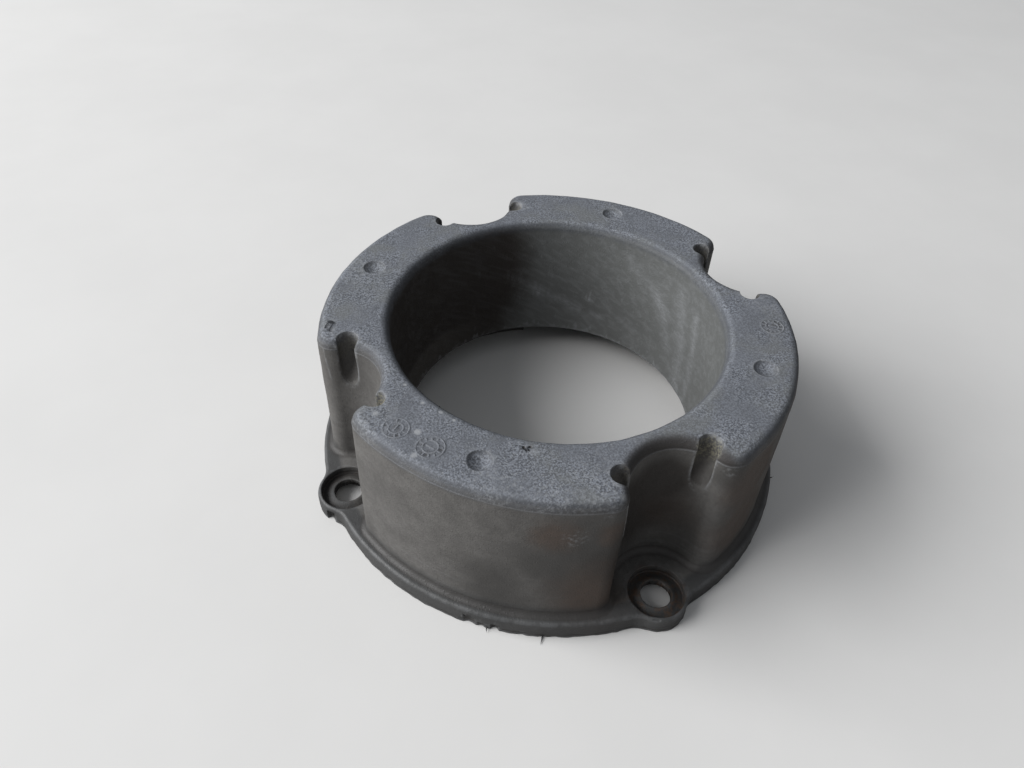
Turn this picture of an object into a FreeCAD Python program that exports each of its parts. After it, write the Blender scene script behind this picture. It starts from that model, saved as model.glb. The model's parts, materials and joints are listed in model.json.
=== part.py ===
import FreeCAD, Part

import math
import os

import Sketcher

# Moulded rubber collar, in millimetres. It stands on its flange: +Z is up, the origin is the
# centre of the base, and the first bolt lug lies on +X.

SIZES = {
    "height": 46.3,
    # sealing lip at the lower end of the bore, and the recess under it
    "lip_radius": 39.3,
    "lip_height": 7.5,
    "lip_draft": 1.5,
    "lip_clearance": 8.9,
    "recess_slope": 5.1,
    # bore and ring: what each wall leans is measured at its far end
    "bore_draft": 1.4,
    "bore_round": 2.4,
    "ring_width": 17.8,
    "wall_draft": 0.8,
    "top_round": 2.6,
    "bridge_land": 0.1,
    # flange
    "flange_width": 2.8,
    "flange_thickness": 5.6,
    "flange_round": 1.2,
    "foot_round": 1.5,
    # bolt lugs and the stepped seats in them
    "lug_count": 4,
    "bolt_inset": 1.0,
    "lug_radius": 8.1,
    "lug_blend": 6.0,
    "hole_radius": 3.5,
    "seat_radius": 6.8,
    "seat_depth": 2.2,
    "bead_width": 1.0,
    "bead_slope": 0.9,
    "bead_rise": 1.0,
    "relief_width": 2.0,
    "relief_depth": 2.0,
    # bolt pockets, and the two notches beside each at a bearing from the ring's axis
    "pocket_radius": 11.7,
    "pocket_corner": 4.5,
    "pocket_wall": 3.4,
    "notch_radius": 2.4,
    "notch_tip_radius": 1.9,
    "notch_depth": 14.0,
    "notch_offset": 1.67,
    "notch_bearing": 55.4,
    # ejector dimples in the top face
    "dimple_inset": 8.1,
    "dimple_radius": 2.8,
    "dimple_depth": 0.9,
    # cores that hollow the ring from below
    "core_wall": 4.4,
    "core_roof": 5.0,
    "notch_wall": 2.3,
    # how far a cutting profile runs past the face that it cuts through
    "overrun": 1.0,
}

# Radii and places that follow from the sizes.
PLACES = {
    "lip_top_radius": "lip_radius + lip_draft",
    "bore_radius": "lip_top_radius + bore_draft",
    "body_radius": "bore_radius + ring_width",
    "foot_radius": "body_radius + wall_draft",
    "flange_radius": "foot_radius + flange_width",
    "bolt_circle_radius": "body_radius - bolt_inset",
    "recess_radius": "bolt_circle_radius - pocket_radius - pocket_wall",
    "seat_floor": "flange_thickness - seat_depth",
    "notch_reach": "pocket_radius + notch_offset",
    "notch_inward": "bolt_circle_radius - notch_reach * cos( notch_bearing )",
    "notch_sideways": "notch_reach * sin( notch_bearing )",
    "notch_circle_radius": "sqrt( notch_inward ^ 2 + notch_sideways ^ 2 )",
    "notch_azimuth": "atan( notch_sideways / notch_inward )",
    "dimple_circle_radius": "body_radius - dimple_inset",
    "dimple_ball_radius": "( dimple_radius ^ 2 + dimple_depth ^ 2 ) / ( 2 * dimple_depth )",
    "core_roof_height": "height - core_roof",
}

# An edge belongs to a chain of edges when all of it lies this close to the chain's line.
NEAR = 0.05


def write_sheet(doc, name, cells):
    """One row for each cell: its alias in column A, and its value or formula in column B."""
    sheet = doc.addObject("Spreadsheet::Sheet", name)
    for row, (alias, content) in enumerate(cells.items(), start=1):
        sheet.set("A%d" % row, alias)
        sheet.set("B%d" % row, content)
        sheet.setAlias("B%d" % row, alias)
    doc.recompute()


def sized(text):
    """The text as an expression, with each word that names a size or a place read from its cell."""
    words = []
    for word in text.split():
        if word in SIZES:
            word = "Sizes." + word
        elif word in PLACES:
            word = "Places." + word
        words.append(word)
    return " ".join(words)


def origin_item(body, role):
    """One of the body's own origin planes or axes."""
    return [item for item in body.Origin.OriginFeatures if item.Role == role][0]


def new_sketch(body, name, role, lift=None):
    """A sketch on one of the body's own origin planes, or lifted above it."""
    sketch = body.newObject("Sketcher::SketchObject", name)
    sketch.AttachmentSupport = [(origin_item(body, role), "")]
    sketch.MapMode = "FlatFace"
    if lift:
        sketch.setExpression("AttachmentOffset.Base.z", sized(lift))
    return sketch


def dimension(sketch, text, *geometry):
    """A dimension of the sketch that follows an expression of the sizes."""
    index = sketch.addConstraint(Sketcher.Constraint(*geometry, 1.0))
    sketch.setExpression("Constraints[%d]" % index, sized(text))


def closed_outline(sketch, corners):
    """A closed run of straight lines. Each corner is a pair of expressions, across and up."""
    count = len(corners)
    start = [
        FreeCAD.Vector(math.cos(2 * math.pi * k / count), math.sin(2 * math.pi * k / count), 0)
        for k in range(count)
    ]
    lines = [
        sketch.addGeometry(Part.LineSegment(start[k], start[(k + 1) % count]), False)
        for k in range(count)
    ]
    for k in range(count):
        following = lines[(k + 1) % count]
        sketch.addConstraint(Sketcher.Constraint("Coincident", lines[k], 2, following, 1))
    for line, (across, up) in zip(lines, corners):
        dimension(sketch, across, "DistanceX", line, 1)
        dimension(sketch, up, "DistanceY", line, 1)


def circle_on_x(sketch, across, radius, up=None):
    """A circle whose centre is on the sketch's X axis, or a distance up from it."""
    circle = sketch.addGeometry(Part.Circle(), False)
    dimension(sketch, across, "DistanceX", circle, 3)
    if up:
        dimension(sketch, up, "DistanceY", circle, 3)
    else:
        sketch.addConstraint(Sketcher.Constraint("PointOnObject", circle, 3, -1))
    dimension(sketch, radius, "Radius", circle)


def turned(body, name, kind, sketch, axis):
    """A full turn of a sketch, added to the body or cut from it."""
    feature = body.newObject(kind, name)
    feature.Profile = sketch
    feature.ReferenceAxis = (sketch, [axis])
    feature.Angle = 360
    return feature


def around(body, name, feature):
    """The feature once for each lug, evenly round the ring's axis."""
    pattern = body.newObject("PartDesign::PolarPattern", name)
    pattern.Originals = [feature]
    pattern.Axis = (origin_item(body, "Z_Axis"), [""])
    pattern.Angle = 360
    pattern.setExpression("Occurrences", sized("lug_count"))
    body.Tip = pattern
    body.Document.recompute()


def rounded(body, name, text, belongs):
    """A rounding of each edge of the body whose points pass the test."""
    base = body.Tip
    names = []
    for number, edge in enumerate(base.Shape.Edges, start=1):
        if belongs(edge.discretize(Number=5)):
            names.append("Edge%d" % number)
    fillet = body.newObject("PartDesign::Fillet", name)
    fillet.Base = (base, names)
    fillet.setExpression("Radius", sized(text))
    body.Tip = fillet
    body.Document.recompute()


def place(alias):
    """A worked-out radius or place, as the sheet has it."""
    return doc.Places.get(alias)


def from_axis(point):
    """How far a point lies from the ring's axis."""
    return math.hypot(point.x, point.y)


def from_bolt(point):
    """How far a point lies from the nearest bolt axis, seen from above."""
    turn = 2 * math.pi / SIZES["lug_count"]
    nearest = round(math.atan2(point.y, point.x) / turn) * turn
    bolt = place("bolt_circle_radius")
    return math.hypot(point.x - bolt * math.cos(nearest), point.y - bolt * math.sin(nearest))


def level(points, height):
    """Whether all the points lie at a height."""
    return all(abs(point.z - height) < NEAR for point in points)


def near_axis(points, radius):
    """Whether all the points lie within a radius of the ring's axis."""
    return all(from_axis(point) < radius for point in points)


def ring(body):
    """The ring, its conical bore with the sealing lip, and the flange, as one turned section."""
    section = new_sketch(body, "RingSection", "XZ_Plane")
    closed_outline(
        section,
        [
            ("lip_radius", "lip_clearance"),
            ("lip_top_radius", "lip_clearance + lip_height"),
            ("bore_radius", "height"),
            ("body_radius", "height"),
            ("foot_radius", "flange_thickness"),
            ("flange_radius", "flange_thickness"),
            ("flange_radius", "0 mm"),
            ("recess_radius + recess_slope", "0 mm"),
            ("recess_radius", "lip_clearance"),
        ],
    )
    turned(body, "Ring", "PartDesign::Revolution", section, "V_Axis")


def lugs(body):
    """Round lugs on the flange, each about a bolt axis, blended into the flange's rim."""
    outline = new_sketch(body, "LugOutline", "XY_Plane")
    circle_on_x(outline, "bolt_circle_radius", "lug_radius")
    lug = body.newObject("PartDesign::Pad", "Lug")
    lug.Profile = outline
    lug.setExpression("Length", sized("flange_thickness"))
    around(body, "Lugs", lug)

    rim = place("flange_radius")

    def inner_corner(points):
        on_rim = all(abs(from_axis(point) - rim) < NEAR for point in points)
        return on_rim and all(abs(from_bolt(point) - SIZES["lug_radius"]) < NEAR for point in points)

    rounded(body, "LugBlends", "lug_blend", inner_corner)


def pockets(body):
    """A round pocket down the ring's side over each lug, for the bolt's head and its driver."""
    outline = new_sketch(body, "PocketOutline", "XY_Plane", "height")
    circle_on_x(outline, "bolt_circle_radius", "pocket_radius")
    pocket = body.newObject("PartDesign::Pocket", "BoltPocket")
    pocket.Profile = outline
    pocket.setExpression("Length", sized("height - flange_thickness"))
    around(body, "BoltPockets", pocket)

    wall = place("body_radius")

    def mouth_corner(points):
        on_wall = all(from_axis(point) > wall - NEAR for point in points)
        upright = not level(points, SIZES["flange_thickness"])
        at_mouth = all(abs(from_bolt(point) - SIZES["pocket_radius"]) < NEAR for point in points)
        return on_wall and upright and at_mouth

    rounded(body, "PocketCorners", "pocket_corner", mouth_corner)


def cores(body):
    """Drafted hollows from below, one between each two lugs, clear of the notches."""
    section = new_sketch(body, "CoreSection", "XZ_Plane")
    section.AttachmentOffset = FreeCAD.Placement(
        FreeCAD.Vector(), FreeCAD.Rotation(FreeCAD.Vector(0, 1, 0), 45)
    )
    section.setExpression("AttachmentOffset.Rotation.Angle", sized("180 deg / lug_count"))
    closed_outline(
        section,
        [
            ("recess_radius", "- overrun"),
            ("recess_radius", "lip_clearance"),
            ("bore_radius + core_wall", "core_roof_height"),
            ("body_radius - core_wall", "core_roof_height"),
            ("foot_radius - core_wall", "- overrun"),
        ],
    )
    core = turned(body, "Core", "PartDesign::Groove", section, "V_Axis")
    wall_angle = "asin( ( notch_radius + notch_wall ) / notch_circle_radius )"
    angle = "360 deg / lug_count - 2 * ( notch_azimuth + " + wall_angle + " )"
    core.setExpression("Angle", sized(angle))
    core.Midplane = True
    around(body, "Cores", core)


def roundings(body):
    """The soft edges of the moulding: top, bore, foot of the wall, and flange."""
    top = SIZES["height"]
    ledge = SIZES["flange_thickness"]
    rim = (place("foot_radius") + place("flange_radius")) / 2
    bore = place("bore_radius") + NEAR

    def top_edge(points):
        return level(points, top) and not near_axis(points, bore)

    def bore_edge(points):
        return level(points, top) and near_axis(points, bore)

    def wall_foot(points):
        return level(points, ledge) and near_axis(points, rim)

    def flange_edge(points):
        return level(points, ledge) and not near_axis(points, rim)

    # behind a pocket the top face is a narrow bridge, which both roundings have to share
    half_bridge = "( bolt_circle_radius - pocket_radius - bore_radius - bridge_land ) / 2"
    rounded(body, "TopEdge", "min( top_round ; " + half_bridge + " )", top_edge)
    rounded(body, "BoreEdge", "min( bore_round ; " + half_bridge + " )", bore_edge)
    rounded(body, "WallFoot", "foot_round", wall_foot)
    rounded(body, "FlangeEdge", "flange_round", flange_edge)


def seats(body):
    """The stepped hole through each lug: a seat with a raised bead, the hole and its relief."""
    section = new_sketch(body, "SeatSection", "XZ_Plane")
    axis = section.addGeometry(Part.LineSegment(FreeCAD.Vector(), FreeCAD.Vector(0, 1, 0)), True)
    section.addConstraint(Sketcher.Constraint("Vertical", axis))
    dimension(section, "bolt_circle_radius", "DistanceX", axis, 1)
    section.addConstraint(Sketcher.Constraint("PointOnObject", axis, 1, -1))
    dimension(section, "height", "DistanceY", axis, 1, axis, 2)
    hole = "bolt_circle_radius + hole_radius"
    closed_outline(
        section,
        [
            ("bolt_circle_radius", "flange_thickness + overrun"),
            ("bolt_circle_radius + seat_radius", "flange_thickness + overrun"),
            ("bolt_circle_radius + seat_radius", "seat_floor"),
            (hole + " + bead_width + bead_slope", "seat_floor"),
            (hole + " + bead_width", "seat_floor + bead_rise"),
            (hole, "seat_floor + bead_rise"),
            (hole, "relief_depth"),
            (hole + " + relief_width", "relief_depth"),
            (hole + " + relief_width", "- overrun"),
            ("bolt_circle_radius", "- overrun"),
        ],
    )
    seat = turned(body, "Seat", "PartDesign::Groove", section, "Axis0")
    around(body, "Seats", seat)


def notches(body):
    """A tapered blind notch each side of a pocket, open to the pocket and to the top."""
    for name, side in (("LeftNotch", ""), ("RightNotch", "- ")):
        outline = new_sketch(body, name + "Outline", "XY_Plane", "height")
        circle_on_x(outline, "notch_inward", "notch_radius", side + "notch_sideways")
        notch = body.newObject("PartDesign::Pocket", name)
        notch.Profile = outline
        notch.setExpression("Length", sized("notch_depth"))
        taper = "- atan( ( notch_radius - notch_tip_radius ) / notch_depth )"
        notch.setExpression("TaperAngle", sized(taper))
        around(body, name + "es", notch)


def dimples(body):
    """A shallow round dimple in the top face, midway between each two lugs."""
    ball = body.newObject("PartDesign::SubtractiveSphere", "Dimple")
    ball.setExpression("Radius", sized("dimple_ball_radius"))
    ball.setExpression("Placement.Base.x", sized("dimple_circle_radius * cos( 180 / lug_count )"))
    ball.setExpression("Placement.Base.y", sized("dimple_circle_radius * sin( 180 / lug_count )"))
    ball.setExpression("Placement.Base.z", sized("height - dimple_depth + dimple_ball_radius"))
    around(body, "Dimples", ball)


doc = FreeCAD.newDocument("collar")
write_sheet(doc, "Sizes", {alias: str(size) for alias, size in SIZES.items()})
# within their own sheet the places go by their bare aliases
formulas = {alias: "=" + sized(text).replace("Places.", "") for alias, text in PLACES.items()}
write_sheet(doc, "Places", formulas)
collar = doc.addObject("PartDesign::Body", "rubber_collar")
collar.Label = "rubber_collar"
collar.Placement = FreeCAD.Placement()
for shape_step in (ring, lugs, pockets, cores, roundings, seats, notches, dimples):
    shape_step(collar)
doc.recompute()

for item in doc.Objects:
    if "Invalid" in item.State or "Error" in item.State:
        raise RuntimeError("%s did not build: %s" % (item.Name, item.State))
if collar.Shape.isNull() or not collar.Shape.isValid() or len(collar.Shape.Solids) != 1:
    raise RuntimeError("the collar is not one valid solid")

os.makedirs("parts", exist_ok=True)
collar.Shape.exportStep("parts/%s.step" % collar.Label)
print("%s: %.1f cubic centimetres" % (collar.Label, collar.Shape.Volume / 1000))
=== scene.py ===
import json
import math
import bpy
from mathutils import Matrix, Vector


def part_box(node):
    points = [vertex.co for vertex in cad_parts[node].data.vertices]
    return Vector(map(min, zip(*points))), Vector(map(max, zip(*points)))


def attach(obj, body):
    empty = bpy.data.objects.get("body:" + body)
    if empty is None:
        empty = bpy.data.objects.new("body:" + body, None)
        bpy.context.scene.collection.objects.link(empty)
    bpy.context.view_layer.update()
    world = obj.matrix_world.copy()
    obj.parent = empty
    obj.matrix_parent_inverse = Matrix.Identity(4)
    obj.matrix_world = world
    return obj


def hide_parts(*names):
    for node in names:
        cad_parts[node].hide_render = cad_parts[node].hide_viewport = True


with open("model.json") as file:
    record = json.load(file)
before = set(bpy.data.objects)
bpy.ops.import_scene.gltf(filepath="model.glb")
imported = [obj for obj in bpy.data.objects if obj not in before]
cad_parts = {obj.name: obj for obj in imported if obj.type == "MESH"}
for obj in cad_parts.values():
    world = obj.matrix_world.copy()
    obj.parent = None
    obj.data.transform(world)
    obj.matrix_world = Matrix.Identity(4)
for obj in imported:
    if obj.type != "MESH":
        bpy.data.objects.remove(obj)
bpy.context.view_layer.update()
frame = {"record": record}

from types import SimpleNamespace

import bmesh
import bpy
import numpy as np
from bpy.props import FloatProperty, FloatVectorProperty, PointerProperty
from mathutils import Matrix, Vector

bl_info = {
    "name": "Rubber collar",
    "version": (1, 0, 0),
    "blender": (4, 5, 0),
    "location": "3D View > Sidebar > Collar",
    "description": "Moulded rubber collar with its flash, wear and dirt, on a pale stage",
    "category": "Object",
}

MM = 0.001
NODE = "rubber_collar"
PIECE = "moulded_collar"
LOW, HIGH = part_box(NODE)
BOLTS = {mount["name"]: mount for mount in frame["record"]["mounts"]}["bolts"]
LUG_COUNT = BOLTS["dims"]["count"]
LUG_TURN = 2 * math.pi / LUG_COUNT
FRONT_LUG, LEFT_LUG = -1, 2


# Settings


def length(name, description, millimetres):
    """A length that a user can change, shown in the scene's own unit."""
    return FloatProperty(
        name=name, description=description, default=millimetres * MM, unit="LENGTH", precision=5
    )


def share(name, description, default):
    """A setting from none to all."""
    return FloatProperty(
        name=name, description=description, default=default, min=0.0, max=1.0, subtype="FACTOR"
    )


def angle(name, description, radians):
    """An angle that a user can change, shown in degrees."""
    return FloatProperty(name=name, description=description, default=radians, subtype="ANGLE")


def colour(name, description, default):
    """A colour that a user can change."""
    return FloatVectorProperty(
        name=name, description=description, default=default, size=3, min=0.0, max=1.0, subtype="COLOR"
    )


class CollarForm(bpy.types.PropertyGroup):
    """The moulding's own sizes. The height and the bolt holes come from the frame."""

    height: length("Height", "From the base to the top face", (HIGH[2] - LOW[2]) / MM)
    bolt_circle: length(
        "Bolt circle", "Radius of the circle through the bolt holes", BOLTS["dims"]["pcd_mm"] / 2
    )
    hole: length("Hole", "Radius of a bolt hole", BOLTS["dims"]["hole_r_mm"])
    bead_top: length("Bead top", "Height of the bead round a hole", BOLTS["pos_m"][2] / MM)
    lug: length("Lug", "Radius of a bolt lug", HIGH[0] / MM - BOLTS["dims"]["pcd_mm"] / 2)
    body: length("Body", "Radius of the ring's wall at the top", 60.0)
    foot: length("Foot", "Radius of the ring's wall at the flange", 60.8)
    top_round: length("Top rounding", "Radius of the top's outer edge", 2.5)
    bore: length("Bore", "Radius of the bore at the top", 42.2)
    bore_round: length("Bore rounding", "Radius of the bore's upper edge", 2.4)
    lip: length("Lip", "Radius of the sealing lip at its lower edge", 39.3)
    lip_top: length("Lip top", "Radius of the bore where the lip starts", 40.8)
    lip_low: length("Lip clearance", "Height of the lip's lower edge", 8.9)
    lip_high: length("Lip start", "Height at which the lip starts", 16.4)
    lip_blend: length("Lip blend", "How softly the lip starts", 0.25)
    recess: length("Recess", "Radius of the flat roof under the lip", 43.9)
    recess_slope: length("Recess slope", "Width of the slope from that roof to the base", 5.1)
    flange: length("Flange", "Radius of the flange", 63.6)
    flange_top: length("Flange thickness", "Height of the flange's upper face", 5.6)
    flange_round: length("Flange rounding", "Radius of the flange's upper edge", 1.2)
    foot_round: length("Foot rounding", "Radius of the fillet at the wall's foot", 1.5)
    lug_blend: length("Lug blend", "Radius of the fillet between a lug and the flange's rim", 6.0)
    seat: length("Seat", "Radius of the bolt seat", 6.8)
    seat_floor: length("Seat floor", "Height of the seat's floor", 3.4)
    bead_flat: length("Bead flat", "Width of the bead's flat top", 0.7)
    bead_foot: length("Bead foot", "Width of the bead at its foot", 2.6)
    relief: length("Relief", "Radius of the relief under a hole", 5.5)
    relief_top: length("Relief top", "Depth of that relief", 2.0)
    pocket: length("Pocket", "Radius of a bolt pocket", 11.7)
    pocket_corner: length("Pocket corner", "Radius of the pocket's mouth corners", 4.5)
    notch: length("Notch", "Radius of a notch at the top", 2.4)
    notch_tip: length("Notch tip", "Radius of a notch at its lower end", 1.8)
    notch_lean: length("Notch lean", "How far a notch leans into its pocket on its way down", 0.6)
    notch_fade: length("Notch fade", "How much further it leans out at its lower end", 2.6)
    notch_depth: length("Notch depth", "Depth of a notch", 14.0)
    notch_inward: length("Notch inward", "How far a notch lies inward of the bolt's axis", 7.6)
    notch_sideways: length("Notch sideways", "How far a notch lies beside the bolt's axis", 11.0)
    dimple_circle: length("Dimple circle", "Radius of the circle through the dimples", 51.9)
    dimple: length("Dimple", "Radius of an ejector dimple", 2.8)
    dimple_depth: length("Dimple depth", "Depth of an ejector dimple", 1.2)
    core_inner: length("Core inner", "Inner radius of a core at its roof", 46.6)
    core_outer: length("Core outer", "Outer radius of a core at its roof", 55.6)
    core_foot: length("Core foot", "Outer radius of a core at the base", 56.4)
    core_roof: length("Core roof", "Height of a core's roof", 41.3)
    core_half: angle("Core half angle", "Half the angle that a core spans", math.radians(27.8))


# Distance fields of the moulding, in millimetres: negative in the rubber, positive outside it


def round_join(a, b, radius):
    """What either field holds, with a fillet of the radius where they meet."""
    away = np.hypot(np.maximum(radius - a, 0), np.maximum(radius - b, 0))
    return np.maximum(radius, np.minimum(a, b)) - away


def round_cut(a, b, radius):
    """What both fields hold, with their shared edge rounded to the radius."""
    past = np.hypot(np.maximum(a + radius, 0), np.maximum(b + radius, 0))
    return np.minimum(-radius, np.maximum(a, b)) + past


def circle_meeting(from_axis, from_bolt, bolt_circle):
    """Where a point lies that is one distance from the ring's axis and another from a bolt's."""
    u = (from_axis**2 - from_bolt**2 + bolt_circle**2) / (2 * bolt_circle)
    return u, np.sqrt(from_axis**2 - u**2)


def in_wedge(u, v, first, second):
    """Whether directions (u, v) lie between two other directions, less than half a turn apart."""
    side = np.sign(first[0] * second[1] - first[1] * second[0])
    after_first = (first[0] * v - first[1] * u) * side >= 0
    before_second = (u * second[1] - v * second[0]) * side >= 0
    return after_first & before_second


def folded(points):
    """Each point's place beside its nearest lug, which lies on +u, with both sides laid over."""
    x, y, z = points.T
    radius = np.hypot(x, y)
    azimuth = np.arctan2(y, x)
    beside = azimuth - np.round(azimuth / LUG_TURN) * LUG_TURN
    return SimpleNamespace(
        r=radius,
        z=z,
        u=radius * np.cos(beside),
        v=np.abs(radius * np.sin(beside)),
        from_middle=LUG_TURN / 2 - np.abs(beside),
    )


def wall_outline(at, form):
    """The ring's outline seen from above: its wall, cut by a pocket with rounded mouth corners."""
    lean = (form.foot - form.body) * (form.height - at.z) / (form.height - form.flange_top)
    wall = form.body + lean
    from_bolt = np.hypot(at.u - form.bolt_circle, at.v)
    outline = np.maximum(at.r - wall, form.pocket - from_bolt)
    corner = form.pocket_corner
    centre = circle_meeting(wall - corner, form.pocket + corner, form.bolt_circle)
    u, v = at.u - centre[0], at.v - centre[1]
    mouth = in_wedge(u, v, centre, (form.bolt_circle - centre[0], -centre[1]))
    return np.where(mouth, np.hypot(u, v) - corner, outline)


def flange_outline(at, form):
    """The flange's outline seen from above, with the lugs blended into its rim."""
    from_bolt = np.hypot(at.u - form.bolt_circle, at.v)
    outline = np.minimum(at.r - form.flange, from_bolt - form.lug)
    blend = form.lug_blend
    centre = circle_meeting(form.flange + blend, form.lug + blend, form.bolt_circle)
    u, v = at.u - centre[0], at.v - centre[1]
    towards_bolt = (form.bolt_circle - centre[0], -centre[1])
    between = in_wedge(u, v, (-centre[0], -centre[1]), towards_bolt)
    return np.where(between, np.minimum(outline, blend - np.hypot(u, v)), outline)


def bore_void(at, form):
    """The bore: a slight cone, and a steeper one at the sealing lip."""
    lip_rise = (at.z - form.lip_low) / (form.lip_high - form.lip_low)
    bore_rise = (at.z - form.lip_high) / (form.height - form.lip_high)
    lip = form.lip + lip_rise * (form.lip_top - form.lip)
    bore = form.lip_top + bore_rise * (form.bore - form.lip_top)
    near = np.maximum(form.lip_blend - np.abs(lip - bore), 0)
    return at.r - np.minimum(lip, bore) + near**2 / (4 * form.lip_blend)


def recess_void(at, form):
    """The space under the lip: a flat roof and a slope down to the base."""
    drop = form.lip_low
    slant = math.hypot(drop, form.recess_slope)
    slope = ((at.r - form.recess) * drop + (at.z - form.lip_low) * form.recess_slope) / slant
    return np.maximum(at.z - form.lip_low, slope)


def core_void(at, form):
    """A drafted hollow from below, between two lugs."""
    inner_rise = np.clip((at.z - form.lip_low) / (form.core_roof - form.lip_low), 0, 1)
    outer_rise = at.z / form.core_roof
    inner = form.recess + inner_rise * (form.core_inner - form.recess)
    outer = form.core_foot + outer_rise * (form.core_outer - form.core_foot)
    across = round_cut(inner - at.r, at.r - outer, 0.8)
    side = at.r * np.sin(at.from_middle - form.core_half)
    return round_cut(round_cut(across, side, 1.2), at.z - form.core_roof, 0.8)


def seat_void(at, form):
    """The stepped hole through a lug: seat with a raised bead, hole, and relief below."""
    from_bolt = np.hypot(at.u - form.bolt_circle, at.v)
    bead_slope = form.bead_foot - form.bead_flat
    bead_rise = form.bead_top - form.seat_floor
    slant = math.hypot(bead_slope, bead_rise)
    past_flat = from_bolt - form.hole - form.bead_flat
    slope = (past_flat * bead_rise + (at.z - form.bead_top) * bead_slope) / slant
    bead = round_cut(at.z - form.bead_top, slope, 0.35)
    floor = round_join(bead, at.z - form.seat_floor, 0.35)
    seat = round_cut(from_bolt - form.seat, -floor, 0.3)
    relief = np.maximum(from_bolt - form.relief, at.z - form.relief_top)
    return np.minimum(round_join(seat, from_bolt - form.hole, 0.25), relief)


def notch_void(at, form):
    """A blind notch beside a pocket, open to the pocket and to the top, that fades out downwards."""
    depth = np.clip((form.height - at.z) / form.notch_depth, 0, 1.2)
    lean = form.notch_lean * depth + form.notch_fade * depth**2.5
    reach = 1 - lean / math.hypot(form.notch_inward, form.notch_sideways)
    u = form.bolt_circle - form.notch_inward * reach
    across = np.hypot(at.u - u, at.v - form.notch_sideways * reach)
    radius = form.notch + depth * (form.notch_tip - form.notch)
    return round_cut(across - radius, form.height - 1.16 * form.notch_depth - at.z, 0.6)


def dimple_void(at, form):
    """A shallow round dimple in the top face, midway between two lugs."""
    ball = (form.dimple**2 + form.dimple_depth**2) / (2 * form.dimple_depth)
    across = at.r * np.sin(at.from_middle)
    along = at.r * np.cos(at.from_middle) - form.dimple_circle
    up = at.z - (form.height - form.dimple_depth + ball)
    return np.sqrt(across**2 + along**2 + up**2) - ball


# Each hollow that is cut after the bore, with the rounding of its edges
HOLLOWS = ((recess_void, 0.4), (core_void, 0.4), (seat_void, 0.3), (notch_void, 0.4), (dimple_void, 0.2))


def collar_field(points, form):
    """How far each point lies outside the moulding as it left its tool."""
    at = folded(points)
    ring = round_cut(wall_outline(at, form), at.z - form.height, form.top_round)
    flange = round_cut(flange_outline(at, form), at.z - form.flange_top, form.flange_round)
    solid = round_join(ring, flange, form.foot_round)
    solid = round_cut(solid, -at.z, 0.3)
    solid = round_cut(solid, -bore_void(at, form), form.bore_round)
    for hollow, rounding in HOLLOWS:
        solid = round_cut(solid, -hollow(at, form), rounding)
    return solid


# What moulding and use have left on the collar


class CollarWear(bpy.types.PropertyGroup):
    """Flash, marks, nicks and unevenness of the moulding."""

    seam: length("Seam", "Height of the line where the mould's halves met", 0.14)
    seam_step: length("Seam step", "How far the wall stands out below that line", 0.10)
    flash: length("Flash", "Height of the flash at a pocket's corner", 0.24)
    clock: length("Clock", "Height of the date clocks' lines", 0.20)
    uneven: length("Unevenness", "How far the surface wanders", 0.10)


TOP = (HIGH[2] - LOW[2]) / MM

# Each date clock: its centre, its radius and how far it is turned
CLOCKS = (((-49.7, -21.4), 2.9, 0.6), ((-44.8, -29.4), 3.1, 2.1), ((48.1, -24.6), 2.8, -0.8))

# Each gouge: its two ends and its radius
GOUGES = (
    ((-53.2, 18.7, TOP - 0.25), (-54.7, 17.0, TOP - 0.25), 0.38),
    ((-52.5, 18.0, TOP - 0.2), (-54.2, 15.4, TOP - 0.25), 0.30),
    ((-26.5, -38.5, TOP - 0.5), (-26.75, -37.0, TOP - 0.1), 0.24),
    ((-26.5, -38.5, TOP - 0.5), (-25.5, -37.5, TOP - 0.15), 0.26),
    ((-3.6, -66.1, 5.6), (-4.6, -65.6, 5.6), 0.60),
    ((-7.2, -63.5, 5.7), (-7.9, -63.1, 5.6), 0.35),
    ((-56.6, -10.2, TOP - 0.1), (-57.6, -11.3, TOP - 0.5), 0.25),
)

# Each tear in the flange's rim: its place in degrees, its half width, its depth and its height
RIM_TEARS = (
    (-133.1, 1.6, 0.55, 2.6), (-127.4, 1.1, 0.85, 2.2), (-130.4, 0.9, 0.30, 1.6), (-121.5, 1.2, 0.22, 1.2),
    (-174.6, 2.4, 0.12, 3.0), (-41.8, 1.3, 0.35, 1.8), (-36.0, 0.8, 0.45, 1.6), (36.5, 1.4, 0.30, 1.5),
)
LUG_RIM = 64.9  # the radius at which a lug's rim is torn
SKIN = 0.02  # how far the worn top stays under the true one

# Each hair of flash: its root, its tip and the radius of its root
SPIKES = (
    ((-28.7, -56.2, 0.3), (-30.2, -58.2, 0.2), 0.22),
    ((50.3, -38.9, 0.9), (51.9, -39.3, 1.4), 0.30),
    ((-40.0, -49.2, 0.6), (-40.6, -50.4, 0.4), 0.22),
)

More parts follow.
